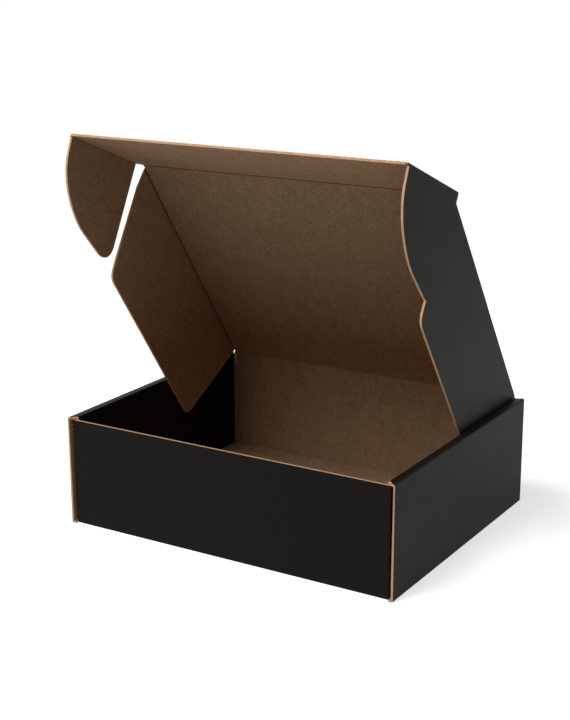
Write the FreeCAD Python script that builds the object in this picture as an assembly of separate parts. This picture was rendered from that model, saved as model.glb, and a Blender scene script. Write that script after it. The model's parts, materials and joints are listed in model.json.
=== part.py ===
import FreeCAD, Part
import math
import os

# Corrugated mailer box with roll-over side walls and a hinged lid, all lengths in millimetres.
# X runs across the box between the side walls, +Y points to the back wall that carries the lid,
# and +Z is up. The origin is the middle of the underside. The lid stands half open.

# The board and the box's outside
board = 1.5
outside_length = 250.0
outside_depth = 198.0
outside_height = 77.0

# Folds and the small gaps of a folded box
fold_radius = 1.1
layer_gap = 0.1
ear_play = 0.15
crease_gap = 0.3
lid_play = 0.2
front_panel_play = 0.3
back_wall_inset = 0.3
lid_proud = 1.05
front_overhang = 1.2
lid_seat_gap = 0.6
floor_gap = 0.5
table_gap = 0.3

# Corner flaps inside the side walls, and the lock tabs of the roll-over panels
corner_flap_length = 82.0
corner_flap_drop = 1.0
lock_tab_length = 32.0
lock_tab_spacing = 96.0
lock_tab_play = 0.2
lock_tab_recess = 0.3

# Side flaps of the lid
flap_front_taper = 28.0
flap_root_taper = 4.0
flap_root_depth = 15.0
flap_rear_taper = 9.5
flap_rear_start = 2.0
flap_front_radius = 9.0
flap_rear_radius = 6.0
flap_fold_relief = 2.2

# Ears of the front panel
ear_length = 75.5
ear_root_start = 2.9
ear_rear_taper = 7.5
ear_straight = 19.3
ear_shoulder = 48.9
ear_shoulder_rise = 12.4
ear_heel_radius = 34.0
ear_tip_radius = 10.4
ear_curve_radius = 60.0

# How far the box stands open: the lid above level, and the front panel out of the lid's plane
lid_opening = 55.0
front_panel_bend = 33.5

# Sizes that follow from those above
half_length = outside_length / 2
half_depth = outside_depth / 2
half_board = board / 2

ear_slot = board + 2 * ear_play
wall_end = half_length - board - ear_slot
roll_outer_face = wall_end - board - layer_gap
side_inner_face = roll_outer_face - board

front_wall_face = -half_depth + board + front_panel_play
back_wall_face = half_depth - back_wall_inset
front_wall_top = outside_height - board - lid_seat_gap

hinge_y = back_wall_face - half_board
hinge_z = outside_height - half_board + lid_proud
front_crease_y = -half_depth + half_board - front_overhang
lid_length = hinge_y - front_crease_y
lid_half_width = side_inner_face - lid_play
flap_crease_x = lid_half_width - half_board
flap_depth = hinge_z - board - floor_gap
flap_front_start = hinge_y - front_wall_face - board - layer_gap

front_panel_height = hinge_z - table_gap
ear_crease_x = half_length - board - ear_play - half_board
ear_foot = hinge_z - board - floor_gap
foot_half_width = wall_end - layer_gap
root = half_board + crease_gap

vector = FreeCAD.Vector


def rounded_wire(corners):
    """Closed wire in the XY plane; each corner is (x, y) or (x, y, radius)."""
    points = [vector(c[0], c[1], 0) for c in corners]
    radii = [c[2] if len(c) > 2 else 0.0 for c in corners]
    entries = []
    exits = []
    arcs = []
    for i, point in enumerate(points):
        before = (points[i - 1] - point).normalize()
        after = (points[(i + 1) % len(points)] - point).normalize()
        if radii[i] == 0.0:
            entries.append(point)
            exits.append(point)
            arcs.append(None)
            continue
        half_angle = before.getAngle(after) / 2
        reach = radii[i] / math.tan(half_angle)
        middle = (before + after).normalize()
        nearest = point + middle * (radii[i] / math.sin(half_angle) - radii[i])
        entries.append(point + before * reach)
        exits.append(point + after * reach)
        arcs.append(Part.Arc(entries[i], nearest, exits[i]).toShape())
    edges = []
    for i, arc in enumerate(arcs):
        if arc is not None:
            edges.append(arc)
        following = entries[(i + 1) % len(points)]
        if (following - exits[i]).Length > 1e-6:
            edges.append(Part.makeLine(exits[i], following))
    return Part.Wire(edges)


def prism(wire, low, high):
    """Solid between the heights low and high above a wire in the XY plane."""
    face = Part.Face(wire)
    face.translate(vector(0, 0, low))
    return face.extrude(vector(0, 0, high - low))


def block(x_low, x_high, y_low, y_high, z_low, z_high):
    """Square block between two corners."""
    corner = vector(x_low, y_low, z_low)
    return Part.makeBox(x_high - x_low, y_high - y_low, z_high - z_low, corner)


def upright_section(corners, low, high):
    """Section drawn as (across, height) and run along Y from low to high."""
    shape = prism(rounded_wire(corners), -high, -low)
    shape.rotate(vector(0, 0, 0), vector(1, 0, 0), 90)
    return shape


def mirrored(shape):
    """The same shape on the box's other side."""
    return shape.mirror(vector(0, 0, 0), vector(1, 0, 0))


def floor_and_end_walls():
    """Bottom panel with the front and back walls folded up from it."""
    section = [
        (front_wall_face, 0, fold_radius),
        (back_wall_face, 0, fold_radius),
        (back_wall_face, front_wall_top),
        (back_wall_face - board, front_wall_top),
        (back_wall_face - board, board),
        (front_wall_face + board, board),
        (front_wall_face + board, front_wall_top),
        (front_wall_face, front_wall_top),
    ]
    folded = upright_section(section, -wall_end, wall_end)
    folded.rotate(vector(0, 0, 0), vector(0, 0, 1), 90)
    plan = [
        (-wall_end, front_wall_face, fold_radius),
        (wall_end, front_wall_face, fold_radius),
        (wall_end, back_wall_face, fold_radius),
        (-wall_end, back_wall_face, fold_radius),
    ]
    return folded.common(prism(rounded_wire(plan), 0, front_wall_top))


def hinge_edge():
    """Rounded top edge of the back wall, on the line that the lid turns about."""
    neck = block(-lid_half_width, lid_half_width, hinge_y - half_board, hinge_y + half_board,
                 front_wall_top - board, hinge_z)
    nose = Part.makeCylinder(half_board, 2 * lid_half_width, vector(-lid_half_width, hinge_y, hinge_z),
                             vector(1, 0, 0))
    return neck.fuse(nose)


def corner_flap(y_wall, direction):
    """Flap at the right end of the front or back wall, folded back inside the side wall."""
    y_end = y_wall + direction * corner_flap_length
    return block(wall_end - board, wall_end, min(y_wall, y_end), max(y_wall, y_end),
                 board + layer_gap, front_wall_top - corner_flap_drop)


def side_wall():
    """Right side wall: outer panel, roll-over strip and inner panel, folded from the bottom."""
    section = [
        (side_inner_face, 0),
        (half_length, 0, fold_radius),
        (half_length, outside_height, fold_radius),
        (side_inner_face, outside_height, fold_radius),
        (side_inner_face, board + layer_gap),
        (roll_outer_face, board + layer_gap),
        (roll_outer_face, outside_height - board),
        (half_length - board, outside_height - board),
        (half_length - board, board),
        (side_inner_face, board),
    ]
    wall = upright_section(section, -half_depth, half_depth)
    return wall.cut(roll_over_end(front_wall_face, 1)).cut(roll_over_end(back_wall_face, -1))


def roll_over_end(y_wall, direction):
    """What is trimmed off a side wall's end, so that its inner panel stops at the end wall."""
    y_edge = -direction * half_depth
    y_beyond = y_edge - direction * board
    y_panel = y_wall + direction * (board + crease_gap)
    slant = rounded_wire([
        (half_length - board, y_beyond),
        (half_length - board, y_edge),
        (roll_outer_face, y_panel),
        (side_inner_face - board, y_panel),
        (side_inner_face - board, y_beyond),
    ])
    above_floor = prism(slant, board + layer_gap / 2, outside_height + board)
    y_slit = y_wall + direction * (fold_radius + layer_gap)
    beside_fold = block(side_inner_face - board, wall_end + layer_gap, min(y_beyond, y_slit),
                        max(y_beyond, y_slit), -board, board + layer_gap)
    return above_floor.fuse(beside_fold)


def lock_tab(y_middle):
    """Tab on the right inner panel that stands in a slot of the bottom panel."""
    y_low = y_middle - lock_tab_length / 2
    return block(side_inner_face, roll_outer_face, y_low, y_low + lock_tab_length,
                 lock_tab_recess, board + 2 * layer_gap)


def lock_slot(y_middle):
    """Slot in the bottom panel for one lock tab."""
    half_slot = lock_tab_length / 2 + lock_tab_play
    return block(side_inner_face - lock_tab_play, roll_outer_face + lock_tab_play,
                 y_middle - half_slot, y_middle + half_slot, -board, board + layer_gap / 2)


def tray():
    """The whole tray, one folded sheet."""
    body = floor_and_end_walls().fuse(hinge_edge())
    for shape in (side_wall(), corner_flap(front_wall_face, 1), corner_flap(back_wall_face, -1)):
        body = body.fuse(shape).fuse(mirrored(shape))
    for y_middle in (-lock_tab_spacing / 2, lock_tab_spacing / 2):
        slot = lock_slot(y_middle)
        body = body.cut(slot).cut(mirrored(slot))
    for y_middle in (-lock_tab_spacing / 2, lock_tab_spacing / 2):
        tab = lock_tab(y_middle)
        body = body.fuse(tab).fuse(mirrored(tab))
    return body.removeSplitter()


# The lid's pieces are drawn with the box shut and the piece in question level. A sheet is drawn
# with its middle plane at height 0 and its own crease on the X axis, running away along -Y.


def nose(start, end):
    """Rounded edge of a sheet along a crease between two points of its middle plane."""
    first = vector(start[0], start[1], 0)
    along = vector(end[0], end[1], 0) - first
    return Part.makeCylinder(half_board, along.Length, first, along)


def lid_sheet():
    """Lid panel, with rounded edges where the front panel and the side flaps fold."""
    flat = prism(rounded_wire([
        (-flap_crease_x, -root),
        (-flap_crease_x, -lid_length),
        (flap_crease_x, -lid_length),
        (flap_crease_x, -root),
    ]), -half_board, half_board)
    front = nose((-flap_crease_x, -lid_length), (flap_crease_x, -lid_length))
    side = nose((flap_crease_x, -flap_rear_start), (flap_crease_x, -lid_length))
    return flat.fuse(front).fuse(side).fuse(mirrored(side)).removeSplitter()


def flap_sheet():
    """Right side flap, drawn level and running out along +X from its crease."""
    knee = flap_front_start - flap_root_taper
    outline = prism(rounded_wire([
        (root, -flap_rear_start),
        (root, -flap_front_start),
        (flap_root_depth, -knee),
        (flap_depth, -knee + flap_front_taper, flap_front_radius),
        (flap_depth, -flap_rear_start - flap_rear_taper, flap_rear_radius),
    ]), -half_board, half_board)
    relief = rounded_wire([
        (root, 0),
        (root, -half_board),
        (root + flap_fold_relief, -half_board),
    ])
    wedge = prism(relief, 0, lid_length)
    wedge.rotate(vector(0, 0, 0), vector(1, 0, 0), 90)
    return outline.cut(wedge)


def front_panel_sheet():
    """Front panel, with rounded edges where its ears fold."""
    flat = prism(rounded_wire([
        (-flap_crease_x, -root),
        (-ear_crease_x, -ear_root_start),
        (-ear_crease_x, -ear_foot),
        (-foot_half_width, -ear_foot),
        (-foot_half_width, -front_panel_height),
        (foot_half_width, -front_panel_height),
        (foot_half_width, -ear_foot),
        (ear_crease_x, -ear_foot),
        (ear_crease_x, -ear_root_start),
        (flap_crease_x, -root),
    ]), -half_board, half_board)
    side = nose((ear_crease_x, -ear_root_start), (ear_crease_x, -ear_foot))
    return flat.fuse(side).fuse(mirrored(side)).removeSplitter()


def ear_sheet():
    """Right ear, drawn level and running out along +X from its crease."""
    return prism(rounded_wire([
        (root, -ear_root_start),
        (root, -ear_foot),
        (ear_straight, -ear_foot, ear_heel_radius),
        (ear_shoulder, -ear_foot + ear_shoulder_rise, ear_curve_radius),
        (ear_length, -ear_root_start - ear_rear_taper, ear_tip_radius),
    ]), -half_board, half_board)


def folded_down(sheet, crease_x):
    """Sheet that runs along +X from its crease, folded square to the inside at crease_x."""
    sheet.rotate(vector(0, 0, 0), vector(0, 1, 0), 90)
    sheet.translate(vector(crease_x, 0, 0))
    return sheet


def place_on_lid(shape):
    """From the shut and level lid to the lid as it stands open."""
    shape.rotate(vector(0, 0, 0), vector(1, 0, 0), -lid_opening)
    shape.translate(vector(0, hinge_y, hinge_z))
    return shape


def place_on_front_panel(shape):
    """From the level front panel to its place on the open lid."""
    shape.rotate(vector(0, 0, 0), vector(1, 0, 0), front_panel_bend)
    shape.translate(vector(0, -lid_length, 0))
    return place_on_lid(shape)


def export(name, shape):
    """Writes one piece after a look at its solid."""
    solid = shape.Solids[0]
    if len(shape.Solids) != 1 or not solid.isValid():
        raise ValueError(name + " is not one sound solid")
    solid.exportStep("parts/" + name + ".step")
    print(name, "volume", round(solid.Volume, 1), "mm3")


right_flap = folded_down(flap_sheet(), flap_crease_x)
right_ear = folded_down(ear_sheet(), ear_crease_x)

os.makedirs("parts", exist_ok=True)
export("tray", tray())
export("lid", place_on_lid(lid_sheet()))
export("left_side_flap", place_on_lid(mirrored(right_flap)))
export("right_side_flap", place_on_lid(right_flap))
export("front_panel", place_on_front_panel(front_panel_sheet()))
export("left_ear", place_on_front_panel(mirrored(right_ear)))
export("right_ear", place_on_front_panel(right_ear))
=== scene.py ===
import json
import math

import bmesh
import bpy
from bpy.props import FloatProperty, FloatVectorProperty, IntProperty, PointerProperty
from mathutils import Matrix, Vector


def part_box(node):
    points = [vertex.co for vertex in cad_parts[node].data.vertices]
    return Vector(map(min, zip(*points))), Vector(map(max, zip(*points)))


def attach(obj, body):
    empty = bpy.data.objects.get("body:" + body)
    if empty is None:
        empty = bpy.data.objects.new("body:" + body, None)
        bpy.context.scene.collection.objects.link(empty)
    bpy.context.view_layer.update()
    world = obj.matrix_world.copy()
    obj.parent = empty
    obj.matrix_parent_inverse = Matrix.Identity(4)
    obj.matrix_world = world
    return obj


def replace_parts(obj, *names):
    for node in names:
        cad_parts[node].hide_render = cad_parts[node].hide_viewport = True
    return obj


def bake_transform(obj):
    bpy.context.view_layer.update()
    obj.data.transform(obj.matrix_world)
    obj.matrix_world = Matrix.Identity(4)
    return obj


bl_info = {
    "name": "Corrugated Mailer Box",
    "version": (1, 0, 0),
    "blender": (4, 5, 0),
    "location": "3D View > Sidebar > Mailer",
    "description": "Half-open mailer box of fluted board, printed black outside and kraft inside",
    "category": "Object",
}

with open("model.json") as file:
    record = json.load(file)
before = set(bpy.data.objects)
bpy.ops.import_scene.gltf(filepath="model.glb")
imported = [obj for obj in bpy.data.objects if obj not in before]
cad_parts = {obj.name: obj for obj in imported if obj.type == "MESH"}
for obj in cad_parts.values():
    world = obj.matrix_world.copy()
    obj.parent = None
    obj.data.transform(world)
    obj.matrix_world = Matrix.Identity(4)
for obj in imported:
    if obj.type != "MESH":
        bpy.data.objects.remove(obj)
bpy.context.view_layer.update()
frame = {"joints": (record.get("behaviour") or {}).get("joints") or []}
joints = {joint["name"]: joint for joint in frame["joints"]}


def joint_place(name):
    """Point that a joint turns about, at rest."""
    return Vector(joints[name]["pos_m"])


def joint_axis(name):
    """Direction of a joint's axis, at rest."""
    return Vector(joints[name]["axis"])


# Places that the frame gives. The lid and the front panel run away from their creases along
# LID_RUN and PANEL_RUN. What the box has on both sides is drawn for the right, and mirrored.
HINGE = joint_place("lid_hinge")
FRONT_CREASE = joint_place("front_panel_crease")
FLAP_CREASE_X = joint_place("right_side_flap_crease").x
EAR_CREASE_X = joint_place("right_ear_crease").x
LID_RUN = joint_axis("left_side_flap_crease")
PANEL_RUN = joint_axis("right_ear_crease")
LID_LENGTH = (FRONT_CREASE - HINGE).length
LID_RISE = math.atan2(LID_RUN.z, -LID_RUN.y)
PANEL_RISE = math.atan2(PANEL_RUN.z, -PANEL_RUN.y)
TRAY_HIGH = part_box("tray")[1]
QUARTER = math.pi / 2
MIRROR = Matrix.Scale(-1, 4, (1, 0, 0))

# The finishes, by their place in every piece's list of materials. The last is kraft darkened with
# painted shade for the pressed scores.
PRINT, KRAFT, PAPER, SCORE_SHADE = 0, 1, 2, 3

# Steps of the mesh round a corner, along a fold of the tray, and round the outside of a crease
CORNER_STEPS = 14
FOLD_STEPS = 4
CREASE_STEPS = 8

# On the inside of a fold of the tray, the board is crushed to this share of the radius that its
# middle plane is bent to
FOLD_CRUSH = 0.9

# How near a point lies to a plane that it is on, and a face to a height that it is at, and how
# much of a level face's normal points up or down
ON_PLANE = 1e-7
AT_HEIGHT = 1e-6
LEVEL = 0.9

# Sockets of the colour Mix node, which share their names with its other sockets
MIX_FACTOR, MIX_FIRST, MIX_SECOND, MIX_RESULT = 0, 6, 7, 2

# How patterns are stretched along the board's grain
GRAIN = (1.0, 0.6, 1.0)
CLOUD_GRAIN = (1.0, 0.5, 1.0)

# Camera fitted to the photograph, and the lamp
CAMERA_PLACE = (0.5017, -0.8399, 0.3936)
CAMERA_AIM = (-0.0122, 0.0, 0.1095)
CAMERA_ROLL = math.radians(-0.13)
CAMERA_LENS = 93.73
SENSOR_WIDTH = 36
CLIP_END = 50
LAMP_PLACE = (-0.5, -1.05, 1.8)
LAMP_AIM = (0, 0, 0.1)
LAMP_WIDTH = 1.1
LAMP_POWER = 34
SOFT_LIGHT = 0.05

# The floor's half width, the distances from its middle between which its glow grows, and the glow
# there. The glow is weaker near the box, so that the lamp's shadow shows.
FLOOR_HALF_WIDTH = 0.62
GLOW_FROM, GLOW_TO = 0.2, 0.5
GLOW_NEAR, GLOW_FAR = 0.7, 1.0


def length(name, description, default):
    """A length property in metres."""
    return FloatProperty(name=name, description=description, default=default, min=0.0,
                         precision=5, subtype="DISTANCE", unit="LENGTH")


def colour(name, description, default):
    """A colour property."""
    return FloatVectorProperty(name=name, description=description, default=default, size=3,
                               min=0.0, max=1.0, subtype="COLOR")


class MailerSizes(bpy.types.PropertyGroup):
    """Board, folds and panel outlines"""

    board: length("Board", "Thickness of the corrugated board", 0.0015)
    liner: length("Liner", "Thickness of each flat liner", 0.00022)
    flute_paper: length("Flute paper", "Thickness of the fluted paper", 0.00018)
    flute_pitch: length("Flute pitch", "Distance from one flute to the next", 0.0033)
    flute_steps: IntProperty(name="Flute steps", description="Faces along one flute",
                             default=8, min=4, max=24)
    crush: length("Crush", "Depth of the pockets between the flutes at a cut edge", 0.0004)
    fold_radius: length("Fold radius", "Outer radius of the tray's folds", 0.0011)
    crease_root: length("Crease root", "Start of a hinged panel's board, from its crease", 0.00105)
    score_width: length("Score width", "Width of the pressed score before a crease", 0.0005)
    score_depth: length("Score depth", "Depth of the pressed score inside a crease", 0.0005)
    press_length: length("Pressed root", "Length of a side flap's root pressed thin inside", 0.0022)
    press_left: length("Pressed rest", "What is left of the inner half of the board there", 0.00004)
    layer_gap: length("Layer gap", "Gap between folded layers", 0.0001)
    ear_slot: length("Ear slot", "Width of the slot that takes an ear", 0.0018)
    outside_height: length("Tray height", "Outside height of the side walls", 0.077)
    wall_top: length("End wall height", "Height of the front and back walls", 0.0749)
    front_gap: length("Front panel gap", "Room between the front wall and the shut panel", 0.0003)
    back_inset: length("Back inset", "Back wall's outer face in from the side walls' ends", 0.0003)
    panel_gap: length("Inner panel gap", "Room between inner side panels and end walls", 0.0003)
    lid_play: length("Lid play", "Room between the lid and the inner side panels", 0.0002)
    floor_gap: length("Floor gap", "Room under the shut side flaps and ears", 0.0005)
    table_gap: length("Table gap", "Room under the shut front panel", 0.0003)
    corner_flap_length: length("Corner flap", "Length of the corner flaps", 0.082)
    corner_flap_drop: length("Corner flap drop", "Corner flaps' top edge below the walls", 0.001)
    tab_length: length("Lock tab", "Length of a lock tab", 0.032)
    tab_spacing: length("Lock tab spacing", "Distance between the lock tabs", 0.096)
    tab_play: length("Lock tab play", "Room round a lock tab in its slot", 0.0002)
    tab_recess: length("Lock tab recess", "Lock tab's foot above the underside", 0.0003)
    flap_rear: length("Flap rear", "Rear start of the side flaps", 0.002)
    flap_front: length("Flap front", "Front end of the side flaps at their root", 0.19355)
    flap_knee: length("Flap knee", "Depth of the bend in the flaps' front edge", 0.015)
    flap_knee_taper: length("Knee taper", "How far the front edge leans back at the knee", 0.004)
    flap_front_taper: length("Front taper", "How far the front edge leans back below it", 0.028)
    flap_rear_taper: length("Rear taper", "How far the rear edge leans forward", 0.0095)
    flap_front_round: length("Front round", "Radius of the flaps' front corner", 0.009)
    flap_rear_round: length("Rear round", "Radius of the flaps' rear corner", 0.006)
    ear_root: length("Ear root", "Start of the ears, from the front crease", 0.0029)
    ear_length: length("Ear length", "Corner that the ear's tip is rounded in", 0.0755)
    ear_straight: length("Ear straight", "Straight part of the ear's foot", 0.0193)
    ear_shoulder: length("Ear shoulder", "Reach of the corner of the ear's round edge", 0.0489)
    ear_shoulder_rise: length("Ear shoulder rise", "Height of that corner above the foot", 0.0124)
    ear_round: length("Ear round", "Radius of the ear's round edge", 0.06)
    ear_heel_round: length("Ear heel round", "Radius from the ear's foot to its round edge", 0.034)
    ear_tip: length("Ear tip", "Distance of the ear's tip from the front crease", 0.0104)
    ear_tip_round: length("Ear tip round", "Radius of the ear's tip", 0.0104)


class MailerColours(bpy.types.PropertyGroup):
    """Colours of the board"""

    print_black: colour("Print", "Black printed outside", (0.0066, 0.0058, 0.005))
    print_worn: colour("Print, thin", "Black print where it lies thin", (0.0102, 0.009, 0.0078))
    kraft: colour("Kraft", "Brown inner liner", (0.455, 0.29, 0.168))
    kraft_fibre: colour("Kraft fibres", "Darker fibres of the inner liner", (0.285, 0.178, 0.101))
    cut_edge: colour("Cut edge", "Fresh paper of the cut edges", (0.92, 0.55, 0.33))
    cut_edge_dark: colour("Cut edge, dark", "Darker paper of the cut edges", (0.7, 0.39, 0.22))
    # The score colour is painted shade: kraft darkened to stand in for the shade that lies inside
    # the pressed scores
    score: colour("Score", "Crushed kraft in the pressed scores", (0.05, 0.033, 0.021))
    floor: colour("Floor", "Pale floor and background", (0.92, 0.92, 0.92))


def sizes():
    """The size settings."""
    return bpy.context.scene.mailer_sizes


def colours():
    """The colour settings."""
    return bpy.context.scene.mailer_colours


class Signal:
    """A shader socket that can be used in sums."""

    def __init__(self, shader, socket):
        self.shader = shader
        self.socket = socket

    def maths(self, operation, first, second):
        """A Math node on two sockets or numbers."""
        return self.shader.node("ShaderNodeMath", {"operation": operation}, {0: first, 1: second})

    def __add__(self, other):
        return self.maths("ADD", self, other)

    def __mul__(self, other):
        return self.maths("MULTIPLY", self, other)

    __radd__ = __add__
    __rmul__ = __mul__


class Shader:
    """The nodes of a material or a world."""

    def __init__(self, owner):
        owner.use_nodes = True
        self.owner = owner
        self.tree = owner.node_tree
        self.tree.nodes.clear()

    def node(self, kind, settings=None, inputs=None, output=0):
        """A new node. Settings go on first, then the values or links of its sockets."""
        node = self.tree.nodes.new(kind)
        for key, value in (settings or {}).items():
            if key == "stops":
                for stop, (position, shade) in zip(node.color_ramp.elements, value):
                    stop.position = position
                    stop.color = (shade, shade, shade, 1.0)
            else:
                setattr(node, key, value)
        for key, value in (inputs or {}).items():
            if isinstance(value, Signal):
                self.tree.links.new(value.socket, node.inputs[key])
            else:
                node.inputs[key].default_value = value
        return Signal(self, node.outputs[output]) if node.outputs else node

    def mix(self, factor, first, second):
        """Colour between two colours."""
        return self.node("ShaderNodeMix", {"data_type": "RGBA"},
                         {MIX_FACTOR: factor, MIX_FIRST: with_alpha(first),
                          MIX_SECOND: with_alpha(second)}, output=MIX_RESULT)

    def finish(self, surface):
        """Puts a surface on the output, and gives back the material or world."""
        kind = "World" if isinstance(self.owner, bpy.types.World) else "Material"
        self.node("ShaderNodeOutput" + kind, {}, {"Surface": surface})
        return self.owner


def with_alpha(value):
    """A colour as four numbers; a signal stays as it is."""
    return value if isinstance(value, Signal) else (*value, 1.0)


def flat_place(shader, stretch):
    """Place on the flat sheet before it was folded, stretched along the board's grain."""
    place = shader.node("ShaderNodeAttribute", {"attribute_name": "flat"}, {}, output="Vector")
    return shader.node("ShaderNodeMapping", {}, {"Vector": place, "Scale": stretch})


def flute_lines(shader, pitch):
    """Faint lines of the flutes under a liner, from 0 to 1."""
    place = shader.node("ShaderNodeAttribute", {"attribute_name": "flat"}, {}, output="Vector")
    across = shader.node("ShaderNodeSeparateXYZ", {}, {"Vector": place}, output="X")
    turns = (math.tau / pitch) * across
    return shader.node("ShaderNodeMath", {"operation": "SINE"}, {0: turns}) * 0.5 + 0.5


def noise(shader, place, scale, detail, roughness=0.6):
    """Noise value from 0 to 1."""
    return shader.node("ShaderNodeTexNoise", {},
                       {"Vector": place, "Scale": scale, "Detail": detail, "Roughness": roughness})


def ramp(shader, value, low, high):
    """A value's part between low and high, spread from 0 to 1."""
    return shader.node("ShaderNodeValToRGB", {"stops": [(low, 0.0), (high, 1.0)]}, {"Fac": value})


def bump(shader, height, distance, strength):
    """Surface normal that follows a height."""
    return shader.node("ShaderNodeBump", {}, {"Height": height, "Distance": distance,
                                              "Strength": strength})


def print_material():
    """Black print on the smooth outer liner, half gloss."""
    shader = Shader(bpy.data.materials.new("black_print"))
    fine = noise(shader, flat_place(shader, GRAIN), scale=900.0, detail=4.0)
    cloudy = noise(shader, flat_place(shader, CLOUD_GRAIN), scale=45.0, detail=3.0)
    lines = flute_lines(shader, sizes().flute_pitch)
    thin = ramp(shader, fine, low=0.35, high=0.75)
    ink = shader.mix(thin, colours().print_black, colours().print_worn)
    relief = 0.35 * fine + 0.3 * cloudy + 0.25 * lines
    return shader.finish(shader.node("ShaderNodeBsdfPrincipled", {}, {
        "Base Color": ink,
        "Roughness": 0.4 + 0.08 * cloudy + 0.06 * fine,
        "Specular IOR Level": 0.06,
        "Normal": bump(shader, relief, distance=0.00006, strength=0.5),
    }))


def kraft_material():
    """Bare brown kraft liner with its fibres and the faint lines of the flutes."""
    shader = Shader(bpy.data.materials.new("kraft"))
    fibres = noise(shader, flat_place(shader, GRAIN), scale=850.0, detail=5.0, roughness=0.75)
    cloudy = noise(shader, flat_place(shader, GRAIN), scale=130.0, detail=4.0)
    lines = flute_lines(shader, sizes().flute_pitch)
    shade = ramp(shader, 0.8 * fibres + 0.2 * cloudy, low=0.4, high=0.6)
    relief = 0.6 * fibres + 0.4 * lines
    return shader.finish(shader.node("ShaderNodeBsdfPrincipled", {}, {
        "Base Color": shader.mix(shade, colours().kraft_fibre, colours().kraft),
        "Roughness": 0.86,
        "Specular IOR Level": 0.2,
        "Normal": bump(shader, relief, distance=0.00008, strength=0.6),
    }))


def paper_material():
    """Fresh paper of the cut edges and of the flutes inside the board."""
    shader = Shader(bpy.data.materials.new("cut_paper"))
    place = shader.node("ShaderNodeTexCoord", {}, {}, output="Object")
    fibres = noise(shader, place, scale=1700.0, detail=4.0, roughness=0.7)
    patches = noise(shader, place, scale=320.0, detail=2.0)
    shade = ramp(shader, 0.5 * fibres + 0.5 * patches, low=0.36, high=0.62)
    return shader.finish(shader.node("ShaderNodeBsdfPrincipled", {}, {
        "Base Color": shader.mix(shade, colours().cut_edge_dark, colours().cut_edge),
        "Roughness": 0.95,
        "Specular IOR Level": 0.1,
        "Normal": bump(shader, fibres, distance=0.0001, strength=0.7),
    }))


def score_shade_material():
    """Kraft darkened with painted shade, standing in for the shade inside the pressed scores of the
    creases.
    """
    shader = Shader(bpy.data.materials.new("score_painted_shade"))
    return shader.finish(shader.node("ShaderNodeBsdfPrincipled", {}, {
        "Base Color": with_alpha(colours().score),
        "Roughness": 0.95,
        "Specular IOR Level": 0.1,
    }))


def board_materials():
    """Print, kraft, paper and the scores' painted shade, made once and shared by all the pieces."""
    makers = {"black_print": print_material, "kraft": kraft_material, "cut_paper": paper_material,
              "score_painted_shade": score_shade_material}
    return [bpy.data.materials.get(name) or make() for name, make in makers.items()]


def outline(corners):
    """New mesh with one level face. A corner is (x, y), or (x, y, radius) where it is round."""
    bm = bmesh.new()
    points = [Vector((corner[0], corner[1], 0.0)) for corner in corners]
    verts = [bm.verts.new(point) for point in points]
    bm.faces.new(verts)
    for i, corner in enumerate(corners):
        if len(corner) > 2:
            before = points[i - 1] - points[i]
            after = points[(i + 1) % len(points)] - points[i]
            reach = corner[2] / math.tan(before.angle(after) / 2)
            bmesh.ops.bevel(bm, geom=[verts[i]], offset=reach, offset_type="OFFSET",
                            segments=CORNER_STEPS, profile=0.5, affect="VERTICES", material=-1)
    bm.normal_update()
    if next(iter(bm.faces)).normal.z < 0:
        bmesh.ops.reverse_faces(bm, faces=bm.faces[:])
    return bm


def cut(bm, point, normal, clear=False):
    """Cuts every face on a plane, and can drop what lies beyond it."""
    bmesh.ops.bisect_plane(bm, geom=bm.verts[:] + bm.edges[:] + bm.faces[:], dist=ON_PLANE,
                           plane_co=point, plane_no=normal, clear_outer=clear)


def cut_rows(bm, folds):
    """Rows of edges across X in every fold, so that the sheet can bend there."""
    for start, angle in folds:
        width = fold_width(angle)
        for step in range(FOLD_STEPS + 1):
            cut(bm, (start + width * step / FOLD_STEPS, 0, 0), (1, 0, 0))


def verts_of(geometry):
    """The vertices in what a bmesh operator gives back."""
    return [item for item in geometry if isinstance(item, bmesh.types.BMVert)]


def coat(bm, finish):
    """Gives every face one finish."""
    for face in bm.faces:
        face.material_index = finish


def slab(corners, low, high, folds, holes, inset=0.0):
    """One layer of the board between two heights, which can be set back from the outline."""
    bm = outline(corners)
    if inset:
        rim = bmesh.ops.inset_region(bm, faces=bm.faces[:], thickness=inset, use_even_offset=True)
        bmesh.ops.delete(bm, geom=rim["faces"], context="FACES")
    cut_rows(bm, folds)
    for x_low, x_high, y_low, y_high in holes:
        for point, normal in (((x_low, 0, 0), (1, 0, 0)), ((x_high, 0, 0), (1, 0, 0)),
                              ((0, y_low, 0), (0, 1, 0)), ((0, y_high, 0), (0, 1, 0))):
            cut(bm, point, normal)
        inside = [face for face in bm.faces
                  if x_low < face.calc_center_median().x < x_high
                  and y_low < face.calc_center_median().y < y_high]
        bmesh.ops.delete(bm, geom=inside, context="FACES")
    bmesh.ops.translate(bm, verts=bm.verts[:], vec=(0, 0, low))
    raised = bmesh.ops.extrude_face_region(bm, geom=bm.faces[:])["geom"]
    bmesh.ops.translate(bm, verts=verts_of(raised), vec=(0, 0, high - low))
    bmesh.ops.recalc_face_normals(bm, faces=bm.faces[:])
    coat(bm, PAPER)
    return bm


def paint(bm, height, finish):
    """Gives the level faces at one height their finish."""
    for face in bm.faces:
        away = abs(face.calc_center_median().z - height)
        if away < AT_HEIGHT and abs(face.normal.z) > LEVEL:
            face.material_index = finish


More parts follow.
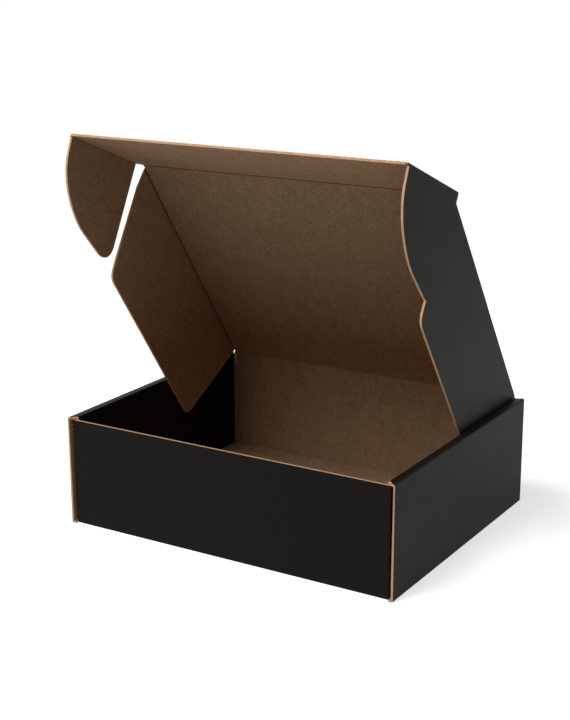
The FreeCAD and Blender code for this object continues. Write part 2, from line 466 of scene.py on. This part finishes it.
def flutes(corners, folds, waves_along):
    """The fluted paper between the liners, trimmed to the outline."""
    s = sizes()
    edge = outline(corners)
    lows = [min(vert.co[axis] for vert in edge.verts) for axis in (0, 1)]
    spans = [max(vert.co[axis] for vert in edge.verts) - lows[axis] for axis in (0, 1)]
    segments = [1, 1]
    segments[waves_along] = max(2, round(spans[waves_along] / s.flute_pitch * s.flute_steps))
    bm = bmesh.new()
    bmesh.ops.create_grid(bm, x_segments=segments[0], y_segments=segments[1], size=0.5)
    bmesh.ops.scale(bm, verts=bm.verts[:], vec=(spans[0], spans[1], 1))
    bmesh.ops.translate(bm, verts=bm.verts[:],
                        vec=(lows[0] + spans[0] / 2, lows[1] + spans[1] / 2, 0))
    swing = s.board / 2 - s.liner - s.flute_paper / 2
    for vert in bm.verts:
        vert.co.z = swing * math.sin(math.tau * vert.co[waves_along] / s.flute_pitch)
    centre = next(iter(edge.faces)).calc_center_median()
    for side in edge.edges:
        middle = (side.verts[0].co + side.verts[1].co) / 2
        outward = (side.verts[1].co - side.verts[0].co).cross(Vector((0, 0, 1)))
        if outward.dot(middle - centre) < 0:
            outward.negate()
        cut(bm, middle, outward, clear=True)
    edge.free()
    cut_rows(bm, folds)
    bmesh.ops.solidify(bm, geom=bm.faces[:], thickness=s.flute_paper)
    bmesh.ops.recalc_face_normals(bm, faces=bm.faces[:])
    coat(bm, PAPER)
    return bm


def fold_width(angle):
    """Width of a fold of the tray along the board's middle."""
    return (sizes().fold_radius - sizes().board / 2) * angle


def folded(place, folds):
    """Where a point of the flat sheet comes to lie once its folds along X are bent up."""
    radius = sizes().fold_radius - sizes().board / 2
    along, rise, turned, reached = 0.0, 0.0, 0.0, 0.0
    height = place.z
    for start, angle in folds:
        if place.x <= start:
            break
        along += (start - reached) * math.cos(turned)
        rise += (start - reached) * math.sin(turned)
        part = min((place.x - start) / fold_width(angle), 1.0) * angle
        along += radius * (math.sin(turned + part) - math.sin(turned))
        rise += radius * (math.cos(turned) - math.cos(turned + part))
        turned += part
        reached = start + fold_width(angle)
        if place.x < reached:
            reached = place.x
            height = min(height, radius * FOLD_CRUSH)
            break
    beyond = place.x - reached
    return Vector((along + beyond * math.cos(turned) - height * math.sin(turned), place.y,
                   rise + beyond * math.sin(turned) + height * math.cos(turned)))


def merge(target, bm):
    """Moves one mesh's faces into another."""
    carrier = bpy.data.meshes.new("carrier")
    bm.to_mesh(carrier)
    bm.free()
    target.from_mesh(carrier)
    bpy.data.meshes.remove(carrier)


def board(parts, place, folds=(), waves_along=0, print_up=True, holes=()):
    """Corrugated board: two liners with flutes between, drawn flat, folded and put in place.

    Each part is a convex outline, and the board's middle plane is drawn at height 0. The fluted
    paper waves along X (0) or Y (1). The print lies on the upper side or on the lower one. A
    hole is its lowest and highest X, then its lowest and highest Y.
    """
    s = sizes()
    half = s.board / 2
    side = 1 if print_up else -1
    bm = bmesh.new()
    flat = bm.verts.layers.float_vector.new("flat")
    for corners in parts:
        for height, finish in ((half * side, PRINT), (-half * side, KRAFT)):
            inner = math.copysign(half - s.liner, height)
            liner = slab(corners, min(height, inner), max(height, inner), folds, holes)
            paint(liner, height, finish)
            merge(bm, liner)
        # A core set back from the cut edges closes the pockets between the flutes
        merge(bm, slab(corners, s.liner - half, half - s.liner, folds, holes, inset=s.crush))
        merge(bm, flutes(corners, folds, waves_along))
    for vert in bm.verts:
        vert[flat] = vert.co if waves_along == 0 else (vert.co.y, vert.co.x, vert.co.z)
        vert.co = folded(vert.co, folds)
    put(bm, place)
    return bm


def put(bm, place):
    """Moves a mesh to its place. A mirroring place keeps its faces outwards."""
    bm.transform(place)
    if place.determinant() < 0:
        bmesh.ops.reverse_faces(bm, faces=bm.faces[:])


def piece(name, meshes, body=None):
    """Object made of one or more meshes. It rides on a body, if one is given."""
    whole = bmesh.new()
    for bm in meshes:
        merge(whole, bm)
    mesh = bpy.data.meshes.new(name)
    whole.to_mesh(mesh)
    whole.free()
    obj = bpy.data.objects.new(name, mesh)
    bpy.context.scene.collection.objects.link(obj)
    for material in board_materials():
        mesh.materials.append(material)
    if body:
        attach(obj, body)
    return obj


def axes(origin, x_axis, y_axis, z_axis):
    """Place with the given origin and axes."""
    turn = Matrix((x_axis, y_axis, z_axis)).transposed().to_4x4()
    return Matrix.Translation(origin) @ turn


def lid_place():
    """From the shut, level lid to the open one."""
    return Matrix.Translation(HINGE) @ Matrix.Rotation(-LID_RISE, 4, "X")


def panel_place():
    """From the level front panel to its place on the open lid."""
    return Matrix.Translation(FRONT_CREASE) @ Matrix.Rotation(-PANEL_RISE, 4, "X")


def ear_foot_place():
    """Distance of the ears' foot from the front crease, so that the shut ears clear the floor."""
    return HINGE.z - sizes().board - sizes().floor_gap


def hanging(crease_x):
    """Turns a sheet that runs out along X to hang down from a crease."""
    return Matrix.Translation((crease_x, 0, 0)) @ Matrix.Rotation(QUARTER, 4, "Y")


def press_root(bm):
    """Presses a flap's inner face in towards its crease, so that the flap can fold further in."""
    s = sizes()
    end = s.crease_root + s.press_length
    least = s.press_left / (s.board / 2)
    cut(bm, (end, 0, 0), (1, 0, 0))
    for vert in bm.verts:
        if vert.co.x < end and vert.co.z < 0:
            part = (vert.co.x - s.crease_root) / s.press_length
            vert.co.z *= least + (1 - least) * part


def crease_strip(outer, bend, low, high, dip, pressed):
    """Liner over a crease, drawn with the parent's sheet to the left and the child's bent down.

    The outer liner goes round the crease. The inner one can dip into it as a pressed score, and
    ends nearer the board's middle where the child's root is pressed.
    """
    s = sizes()
    half = s.board / 2
    run = Vector((math.cos(bend), 0, -math.sin(bend)))
    out = Vector((math.sin(bend), 0, math.cos(bend)))
    side = half if outer else -half
    end_side = -s.press_left if pressed and not outer else side
    start = Vector((-s.score_width, low, side))
    end = run * s.crease_root + out * end_side + Vector((0, low, 0))
    bm = bmesh.new()
    flat = bm.verts.layers.float_vector.new("flat")
    first = bm.verts.new(start)
    last = bm.verts.new(end)
    if outer:
        turning = bm.verts.new((0, low, side))
        bm.edges.new((first, turning))
        arc = bmesh.ops.spin(bm, geom=[turning], cent=(0, low, 0), axis=(0, 1, 0), angle=bend,
                             steps=CREASE_STEPS)["geom_last"]
        middle = verts_of(arc)[0]
    else:
        middle = bm.verts.new((start + end) / 2 + (out + Vector((0, 0, 1))).normalized() * dip)
        bm.edges.new((first, middle))
    bm.edges.new((middle, last))
    drawn = bmesh.ops.extrude_edge_only(bm, edges=bm.edges[:])["geom"]
    bmesh.ops.translate(bm, verts=verts_of(drawn), vec=(0, high - low, 0))
    bmesh.ops.recalc_face_normals(bm, faces=bm.faces[:])
    if (next(iter(bm.faces)).normal.dot(out) > 0) != outer:
        bmesh.ops.reverse_faces(bm, faces=bm.faces[:])
    bmesh.ops.solidify(bm, geom=bm.faces[:], thickness=s.liner)
    bmesh.ops.recalc_face_normals(bm, faces=bm.faces[:])
    for vert in bm.verts:
        vert[flat] = (vert.co.y, vert.co.x, vert.co.z)
    return bm, start, end


# By default the inner liner of a crease takes the scores' painted shade
def crease(name, place, bend, low, high, inside=SCORE_SHADE, dip=0.0, pressed=False):
    """The two liners over a crease, drawn bent as far as the child is turned on its parent."""
    for side, outer, finish in (("print", True, PRINT), ("inside", False, inside)):
        bm, start, end = crease_strip(outer, bend, low, high, dip, pressed)
        coat(bm, finish)
        put(bm, place)
        strip = piece(f"{name}_{side}", [bm])
        place @ start
        place @ end
        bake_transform(strip)


class MAILER_OT_tray(bpy.types.Operator):
    """Make the tray: floor, end walls, side walls and corner flaps"""

    bl_idname = "mailer.tray"
    bl_label = "Tray"

    def execute(self, context):
        s = sizes()
        half = s.board / 2
        bend = s.fold_radius - half
        half_length = TRAY_HIGH.x
        half_depth = TRAY_HIGH.y
        wall_end = half_length - s.board - s.ear_slot
        front = -half_depth + s.board + s.front_gap
        back = half_depth - s.back_inset
        band_end = wall_end - s.fold_radius
        upright = s.wall_top - s.fold_radius
        floor_run = back - front - 2 * s.fold_radius
        inner_face = wall_end - 2 * s.board - s.layer_gap
        lid_half_width = inner_face - s.lid_play
        width = fold_width(QUARTER)
        path_end = 2 * (upright + width) + floor_run
        tab_end = path_end + HINGE.z - s.score_width - s.wall_top
        # Front wall, bottom and back wall, and the strip that goes on up to the lid's hinge
        end_walls = [
            [(0, -band_end), (path_end, -band_end), (path_end, band_end), (0, band_end)],
            [(path_end, -lid_half_width), (tab_end, -lid_half_width),
             (tab_end, lid_half_width), (path_end, lid_half_width)],
        ]
        # Slots in the bottom for the side walls' lock tabs, in the flat sheet's directions
        y_to_path = upright + width - front - s.fold_radius
        slots = []
        for y_middle in (-s.tab_spacing / 2, s.tab_spacing / 2):
            reach = s.tab_length / 2 + s.tab_play
            for side in (-1, 1):
                near = side * (inner_face - s.tab_play)
                far = side * (inner_face + s.board + s.tab_play)
                slots.append((y_to_path + y_middle - reach, y_to_path + y_middle + reach,
                              min(near, far), max(near, far)))
        front_top = axes((0, front + half, s.wall_top), (0, 0, -1), (-1, 0, 0), (0, 1, 0))
        floor = board(end_walls, front_top,
                      [(upright, QUARTER), (upright + width + floor_run, QUARTER)],
                      waves_along=1, print_up=False, holes=slots)
        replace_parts(piece("tray_floor", [floor], "tray"), "tray")

        rise = half_length - s.fold_radius - band_end
        outer_run = s.outside_height - 2 * s.fold_radius
        over = rise + width + outer_run
        inner_mid = inner_face + half
        strip_run = half_length - s.fold_radius - inner_mid - bend
        down = over + width + strip_run
        foot = down + width + s.outside_height - s.fold_radius - s.board - s.layer_gap
        taper_start = over + width + s.board - s.fold_radius
        taper_end = over + width + half_length - s.fold_radius - inner_face - s.board
        y_front = front + s.board + s.panel_gap
        y_back = back - s.board - s.panel_gap
        slit = s.fold_radius + s.layer_gap
        # Side wall: out from the bottom, up, over the corner flaps and down inside to its tabs
        side_wall = [
            [(0, front + slit), (s.fold_radius, front + slit), (s.fold_radius, back - slit),
             (0, back - slit)],
            [(s.fold_radius, -half_depth), (taper_start, -half_depth), (taper_start, half_depth),
             (s.fold_radius, half_depth)],
            [(taper_start, -half_depth), (taper_end, y_front), (taper_end, y_back),
             (taper_start, half_depth)],
            [(taper_end, y_front), (foot, y_front), (foot, y_back), (taper_end, y_back)],
        ]
        tab_foot = foot + s.board + s.layer_gap - s.tab_recess
        for y_middle in (-s.tab_spacing / 2, s.tab_spacing / 2):
            y_low = y_middle - s.tab_length / 2
            side_wall.append([(foot, y_low), (tab_foot, y_low), (tab_foot, y_low + s.tab_length),
                              (foot, y_low + s.tab_length)])
        folds = [(rise, QUARTER), (over, QUARTER), (down, QUARTER)]
        right = axes((band_end, 0, half), (1, 0, 0), (0, 1, 0), (0, 0, 1))
        for name, place in (("tray_right_wall", right), ("tray_left_wall", MIRROR @ right)):
            piece(name, [board(side_wall, place, folds, print_up=False)], "tray")

        # Corner flap: the fold at the end wall's edge, then the flap inside the side wall
        flap_end = width + s.corner_flap_length - s.fold_radius
        corner = [
            [(0, -s.wall_top), (width, -s.wall_top), (width, -s.fold_radius), (0, -s.fold_radius)],
            [(width, s.corner_flap_drop - s.wall_top), (flap_end, s.corner_flap_drop - s.wall_top),
             (flap_end, -s.board - s.layer_gap), (width, -s.board - s.layer_gap)],
        ]
        flaps = []
        for y_mid, inward in ((front + half, 1), (back - half, -1)):
            place = axes((band_end, y_mid, 0), (1, 0, 0), (0, 0, -1), (0, inward, 0))
            for side in (place, MIRROR @ place):
                flaps.append(board(corner, side, [(0, QUARTER)], print_up=False))
        piece("tray_corner_flaps", flaps, "tray")
        return {"FINISHED"}


class MAILER_OT_lid(bpy.types.Operator):
    """Make the lid panel and its two side flaps"""

    bl_idname = "mailer.lid"
    bl_label = "Lid and side flaps"

    def execute(self, context):
        s = sizes()
        half_width = FLAP_CREASE_X - s.score_width
        front = LID_LENGTH - s.score_width
        lid = [[(-half_width, -s.crease_root), (-half_width, -front), (half_width, -front),
                (half_width, -s.crease_root)]]
        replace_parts(piece("lid_board", [board(lid, lid_place())], "lid"), "lid")
        knee = s.flap_front - s.flap_knee_taper
        flap_depth = HINGE.z - s.board - s.floor_gap
        flap = [[(s.crease_root, -s.flap_rear), (s.crease_root, -s.flap_front),
                 (s.flap_knee, -knee),
                 (flap_depth, -knee + s.flap_front_taper, s.flap_front_round),
                 (flap_depth, -s.flap_rear - s.flap_rear_taper, s.flap_rear_round)]]
        right = lid_place() @ hanging(FLAP_CREASE_X)
        for name, place in (("right_side_flap", right), ("left_side_flap", MIRROR @ right)):
            sheet = board(flap, Matrix.Identity(4))
            press_root(sheet)
            put(sheet, place)
            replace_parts(piece(name + "_board", [sheet], name), name)
        return {"FINISHED"}


class MAILER_OT_front_panel(bpy.types.Operator):
    """Make the front panel and its two tuck ears"""

    bl_idname = "mailer.front_panel"
    bl_label = "Front panel and ears"

    def execute(self, context):
        s = sizes()
        foot_half_width = TRAY_HIGH.x - s.board - s.ear_slot - s.layer_gap
        half_width = EAR_CREASE_X - s.score_width
        panel_height = HINGE.z - s.table_gap
        ear_foot = ear_foot_place()
        panel = [
            [(-FLAP_CREASE_X, -s.crease_root), (-half_width, -s.ear_root), (-half_width, -ear_foot),
             (half_width, -ear_foot), (half_width, -s.ear_root), (FLAP_CREASE_X, -s.crease_root)],
            [(-foot_half_width, -ear_foot), (-foot_half_width, -panel_height),
             (foot_half_width, -panel_height), (foot_half_width, -ear_foot)],
        ]
        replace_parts(piece("front_panel_board", [board(panel, panel_place())], "front_panel"),
                    "front_panel")
        ear = [[(s.crease_root, -s.ear_root), (s.crease_root, -ear_foot),
                (s.ear_straight, -ear_foot, s.ear_heel_round),
                (s.ear_shoulder, s.ear_shoulder_rise - ear_foot, s.ear_round),
                (s.ear_length, -s.ear_tip, s.ear_tip_round)]]
        right = panel_place() @ hanging(EAR_CREASE_X)
        for name, place in (("right_ear", right), ("left_ear", MIRROR @ right)):
            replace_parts(piece(name + "_board", [board(ear, place)], name), name)
        return {"FINISHED"}


class MAILER_OT_creases(bpy.types.Operator):
    """Make the liners that bend over the six creases"""

    bl_idname = "mailer.creases"
    bl_label = "Creases"

    def execute(self, context):
        s = sizes()
        hinge = axes(HINGE, (0, 0, 1), (1, 0, 0), (0, 1, 0))
        crease("lid_hinge", hinge, QUARTER - LID_RISE, -FLAP_CREASE_X, FLAP_CREASE_X,
               inside=KRAFT)
        front = (lid_place() @ Matrix.Translation((0, -LID_LENGTH, 0))
                 @ axes((0, 0, 0), (0, -1, 0), (1, 0, 0), (0, 0, 1)))
        crease("front_crease", front, LID_RISE - PANEL_RISE,
               -FLAP_CREASE_X, FLAP_CREASE_X, dip=s.score_depth)
        flap = lid_place() @ Matrix.Translation((FLAP_CREASE_X, 0, 0))
        ear = panel_place() @ Matrix.Translation((EAR_CREASE_X, 0, 0))
        for side, turn in (("right", Matrix.Identity(4)), ("left", MIRROR)):
            crease(f"{side}_flap_crease", turn @ flap, QUARTER,
                   -s.flap_front, -s.flap_rear, pressed=True)
            crease(f"{side}_ear_crease", turn @ ear, QUARTER,
                   -ear_foot_place(), -s.ear_root)
        return {"FINISHED"}


def seen_directly(shader):
    """1 for what the camera sees, also in a mirror or through glass, and 0 for what only lights."""
    rays = [shader.node("ShaderNodeLightPath", {}, {}, output=output)
            for output in ("Is Camera Ray", "Is Glossy Ray", "Is Transmission Ray")]
    seen = rays[0].maths("MAXIMUM", rays[0], rays[1])
    return seen.maths("MAXIMUM", seen, rays[2])


def area_light(name, place, aim, width, height, power):
    """Soft rectangular lamp that is aimed at a point."""
    data = bpy.data.lights.new(name, "AREA")
    data.shape = "RECTANGLE"
    data.size = width
    data.size_y = height
    data.energy = power
    lamp = bpy.data.objects.new(name, data)
    lamp.location = place
    lamp.rotation_euler = (Vector(aim) - Vector(place)).to_track_quat("-Z", "Y").to_euler()
    bpy.context.scene.collection.objects.link(lamp)


class MAILER_OT_stage(bpy.types.Operator):
    """Set up the floor, the lamp, the background and the camera"""

    bl_idname = "mailer.stage"
    bl_label = "Stage"

    def execute(self, context):
        scene = context.scene
        scene.view_settings.view_transform = "Standard"
        self.add_floor()
        self.light_world(scene)
        area_light("key_lamp", LAMP_PLACE, LAMP_AIM, LAMP_WIDTH, LAMP_WIDTH, LAMP_POWER)
        self.add_camera(scene)
        return {"FINISHED"}

    def add_floor(self):
        """Pale floor that glows for the camera and takes the box's shadow."""
        bm = bmesh.new()
        bmesh.ops.create_grid(bm, x_segments=1, y_segments=1, size=FLOOR_HALF_WIDTH)
        mesh = bpy.data.meshes.new("floor")
        bm.to_mesh(mesh)
        bm.free()
        floor = bpy.data.objects.new("floor", mesh)
        bpy.context.scene.collection.objects.link(floor)
        shader = Shader(bpy.data.materials.new("floor"))
        place = shader.node("ShaderNodeTexCoord", {}, {}, output="Object")
        distance = shader.node("ShaderNodeVectorMath", {"operation": "LENGTH"}, {0: place},
                               output="Value")
        glow = shader.node("ShaderNodeMapRange", {}, {
            "Value": distance,
            "From Min": GLOW_FROM,
            "From Max": GLOW_TO,
            "To Min": GLOW_NEAR,
            "To Max": GLOW_FAR,
        })
        lit = shader.node("ShaderNodeBsdfDiffuse", {}, {"Color": with_alpha(colours().floor)})
        white = shader.node("ShaderNodeEmission", {}, {"Strength": seen_directly(shader) * glow})
        both = shader.node("ShaderNodeAddShader", {}, {0: lit, 1: white})
        mesh.materials.append(shader.finish(both))

    def light_world(self, scene):
        """World that looks white and lights the box a little."""
        scene.world = bpy.data.worlds.new("studio")
        shader = Shader(scene.world)
        pure_white = (1, 1, 1, 1)
        soft = shader.node("ShaderNodeBackground", {},
                           {"Color": pure_white, "Strength": SOFT_LIGHT})
        white = shader.node("ShaderNodeBackground", {}, {"Color": pure_white})
        shader.finish(shader.node("ShaderNodeMixShader", {},
                                  {0: seen_directly(shader), 1: soft, 2: white}))

    def add_camera(self, scene):
        """Camera at the photograph's place."""
        data = bpy.data.cameras.new("camera")
        data.sensor_fit = "HORIZONTAL"
        data.sensor_width = SENSOR_WIDTH
        data.lens = CAMERA_LENS
        data.clip_end = CLIP_END
        camera = bpy.data.objects.new("camera", data)
        camera.location = CAMERA_PLACE
        aim = Vector(CAMERA_AIM) - camera.location
        turn = aim.to_track_quat("-Z", "Y").to_matrix().to_4x4()
        roll = Matrix.Rotation(CAMERA_ROLL, 4, "Z")
        camera.rotation_euler = (turn @ roll).to_euler()
        scene.collection.objects.link(camera)
        scene.camera = camera


class MAILER_PT_panel(bpy.types.Panel):
    """Sizes, colours and pieces of the mailer box"""

    bl_label = "Mailer Box"
    bl_idname = "MAILER_PT_panel"
    bl_space_type = "VIEW_3D"
    bl_region_type = "UI"
    bl_category = "Mailer"

    def draw(self, context):
        layout = self.layout
        for operator in STEPS:
            layout.operator(operator.bl_idname)
        for settings in (sizes(), colours()):
            column = layout.column(align=True)
            for name in settings.__annotations__:
                column.prop(settings, name)


STEPS = (MAILER_OT_tray, MAILER_OT_lid, MAILER_OT_front_panel, MAILER_OT_creases, MAILER_OT_stage)
CLASSES = (MailerSizes, MailerColours, *STEPS, MAILER_PT_panel)


def register():
    for cls in CLASSES:
        bpy.utils.register_class(cls)
    bpy.types.Scene.mailer_sizes = PointerProperty(type=MailerSizes)
    bpy.types.Scene.mailer_colours = PointerProperty(type=MailerColours)


def unregister():
    del bpy.types.Scene.mailer_colours
    del bpy.types.Scene.mailer_sizes
    for cls in reversed(CLASSES):
        bpy.utils.unregister_class(cls)


def main():
    register()
    bpy.ops.mailer.tray()
    bpy.ops.mailer.lid()
    bpy.ops.mailer.front_panel()
    bpy.ops.mailer.creases()
    bpy.ops.mailer.stage()


if __name__ == "__main__":
    main()
